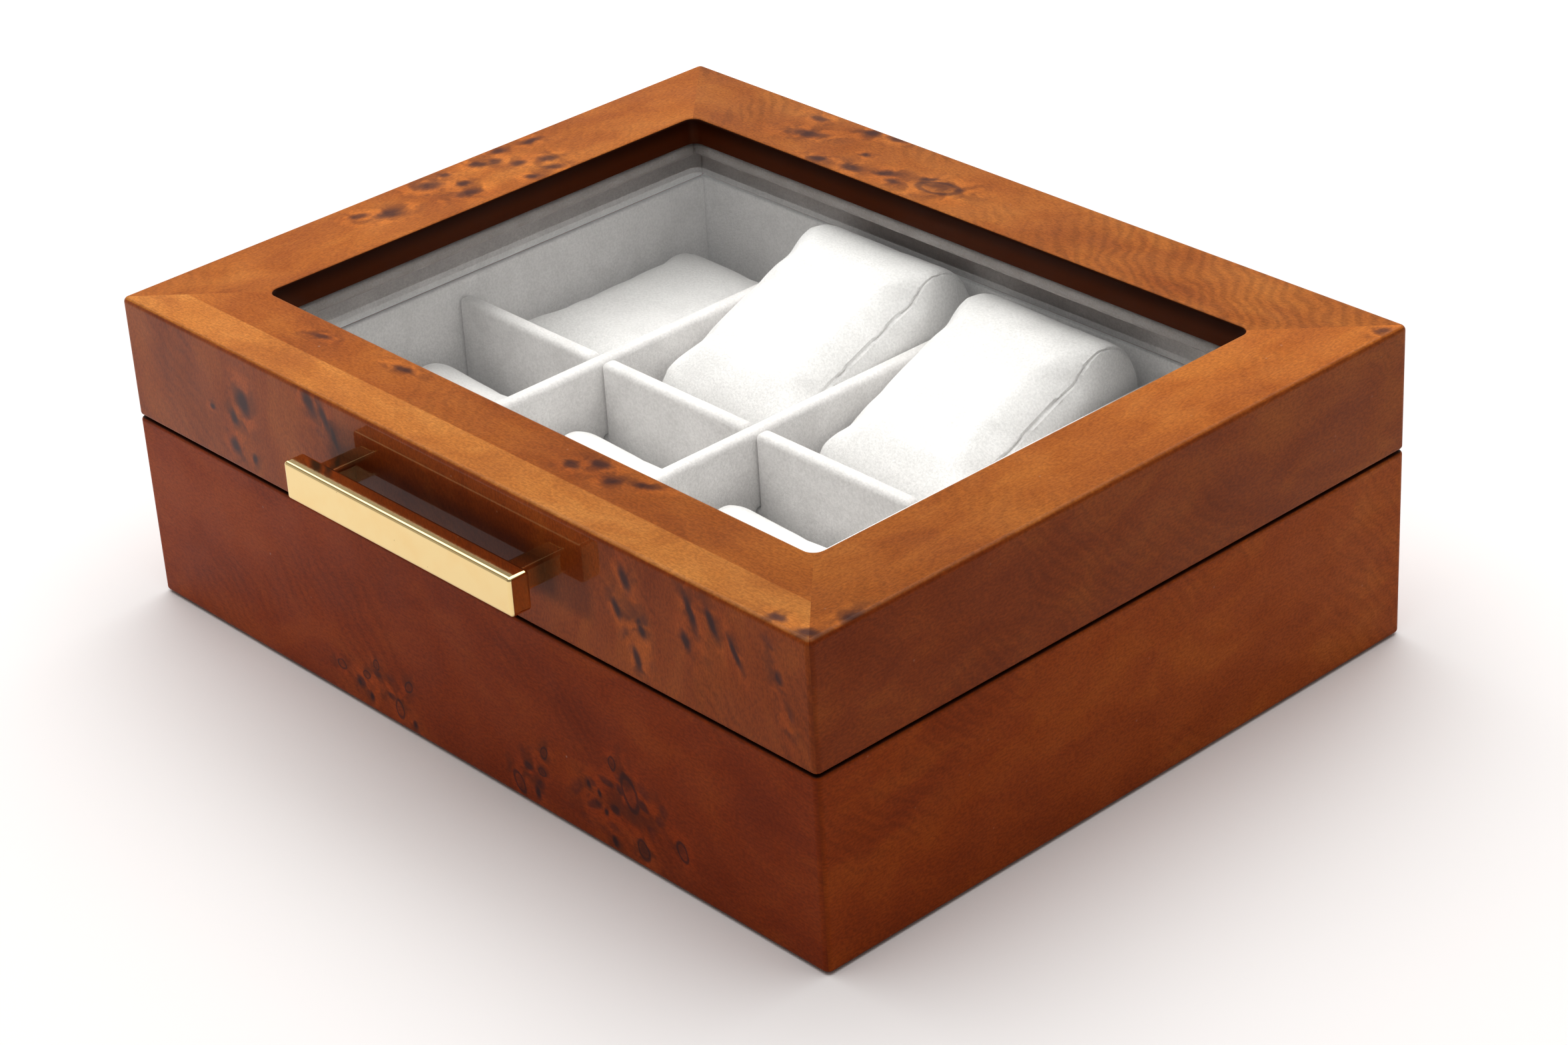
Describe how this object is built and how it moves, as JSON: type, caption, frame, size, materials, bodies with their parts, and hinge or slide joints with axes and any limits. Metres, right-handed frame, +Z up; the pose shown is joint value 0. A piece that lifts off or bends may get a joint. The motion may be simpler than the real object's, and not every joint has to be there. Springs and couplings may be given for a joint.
{
  "type": "watch box",
  "caption": "Low veneered wooden watch box with a hinged glazed lid, a bar handle, and velvet-lined compartments that hold soft cushions.",
  "frame": {"origin": "centre of the underside of the felt, on the surface the box rests on", "axes": "+X along the box's length to the right as seen from the handle, +Y from the handle to the hinges, +Z up"},
  "size_m": [0.22, 0.1867, 0.0745],
  "materials": {
    "burl_veneer": "burl veneer over board, stained orange-brown, high-gloss clear lacquer",
    "lining_velvet": "short-pile light grey velvet glued over board",
    "cushion_velvet": "short-pile near-white velvet over foam",
    "glass": "clear flat glass, polished",
    "gold_plate": "polished gold plating",
    "hinge_metal": "satin brass plating",
    "steel": "zinc-plated",
    "felt": "thin dark brown felt",
    "board": "plain fibreboard, hidden between the felt and the lining"
  },
  "bodies": {
    "base": {"base_back_wall": "burl_veneer", "base_bottom_panel": "board", "base_felt_pad": "felt", "base_front_wall": "burl_veneer", "base_left_wall": "burl_veneer", "base_lining_back": "lining_velvet", "base_lining_front": "lining_velvet", "base_lining_left": "lining_velvet", "base_lining_right": "lining_velvet", "base_right_wall": "burl_veneer", "cross_divider_centre": "lining_velvet", "cross_divider_left": "lining_velvet", "cross_divider_right": "lining_velvet", "hinge_base_screws": "hinge_metal", "hinge_left_base_leaf": "hinge_metal", "hinge_left_pin": "hinge_metal", "hinge_right_base_leaf": "hinge_metal", "hinge_right_pin": "hinge_metal", "long_divider": "lining_velvet", "tray_floor": "lining_velvet"},
    "lid": {"glass_pane": "glass", "glass_retainer_back": "lining_velvet", "glass_retainer_front": "lining_velvet", "glass_retainer_left": "lining_velvet", "glass_retainer_right": "lining_velvet", "handle_bar": "gold_plate", "handle_post_left": "gold_plate", "handle_post_right": "gold_plate", "handle_screws": "steel", "hinge_left_lid_leaf": "hinge_metal", "hinge_lid_screws": "hinge_metal", "hinge_right_lid_leaf": "hinge_metal", "lid_back_rail": "burl_veneer", "lid_back_skirt": "burl_veneer", "lid_front_rail": "burl_veneer", "lid_front_skirt": "burl_veneer", "lid_left_rail": "burl_veneer", "lid_left_skirt": "burl_veneer", "lid_lining_back": "lining_velvet", "lid_lining_front": "lining_velvet", "lid_lining_left": "lining_velvet", "lid_lining_right": "lining_velvet", "lid_right_rail": "burl_veneer", "lid_right_skirt": "burl_veneer"},
    "cushion_back_1": {"cushion_back_1": "cushion_velvet"},
    "cushion_back_2": {"cushion_back_2": "cushion_velvet"},
    "cushion_back_3": {"cushion_back_3": "cushion_velvet"},
    "cushion_back_4": {"cushion_back_4": "cushion_velvet"},
    "cushion_front_1": {"cushion_front_1": "cushion_velvet"},
    "cushion_front_2": {"cushion_front_2": "cushion_velvet"},
    "cushion_front_3": {"cushion_front_3": "cushion_velvet"},
    "cushion_front_4": {"cushion_front_4": "cushion_velvet"}
  },
  "joints": [
    {"name": "lid_hinge", "type": "hinge", "parent": "base", "child": "lid", "pos_m": [0, 0.0877, 0.04525], "axis": [-1, 0, 0], "range_deg": [0, 95]},
    {"name": "cushion_back_1_lift", "type": "slide", "parent": "base", "child": "cushion_back_1", "axis": [0, 0, 1], "range_m": [0, 0.025]},
    {"name": "cushion_back_2_lift", "type": "slide", "parent": "base", "child": "cushion_back_2", "axis": [0, 0, 1], "range_m": [-0.0066, 0.0027]},
    {"name": "cushion_back_3_lift", "type": "slide", "parent": "base", "child": "cushion_back_3", "axis": [0, 0, 1], "range_m": [-0.0049, 0.0045]},
    {"name": "cushion_back_4_lift", "type": "slide", "parent": "base", "child": "cushion_back_4", "axis": [0, 0, 1], "range_m": [0, 0.025]},
    {"name": "cushion_front_1_lift", "type": "slide", "parent": "base", "child": "cushion_front_1", "axis": [0, 0, 1], "range_m": [0, 0.025]},
    {"name": "cushion_front_2_lift", "type": "slide", "parent": "base", "child": "cushion_front_2", "axis": [0, 0, 1], "range_m": [0, 0.025]},
    {"name": "cushion_front_3_lift", "type": "slide", "parent": "base", "child": "cushion_front_3", "axis": [0, 0, 1], "range_m": [0, 0.025]},
    {"name": "cushion_front_4_lift", "type": "slide", "parent": "base", "child": "cushion_front_4", "axis": [0, 0, 1], "range_m": [0, 0.025]}
  ]
}
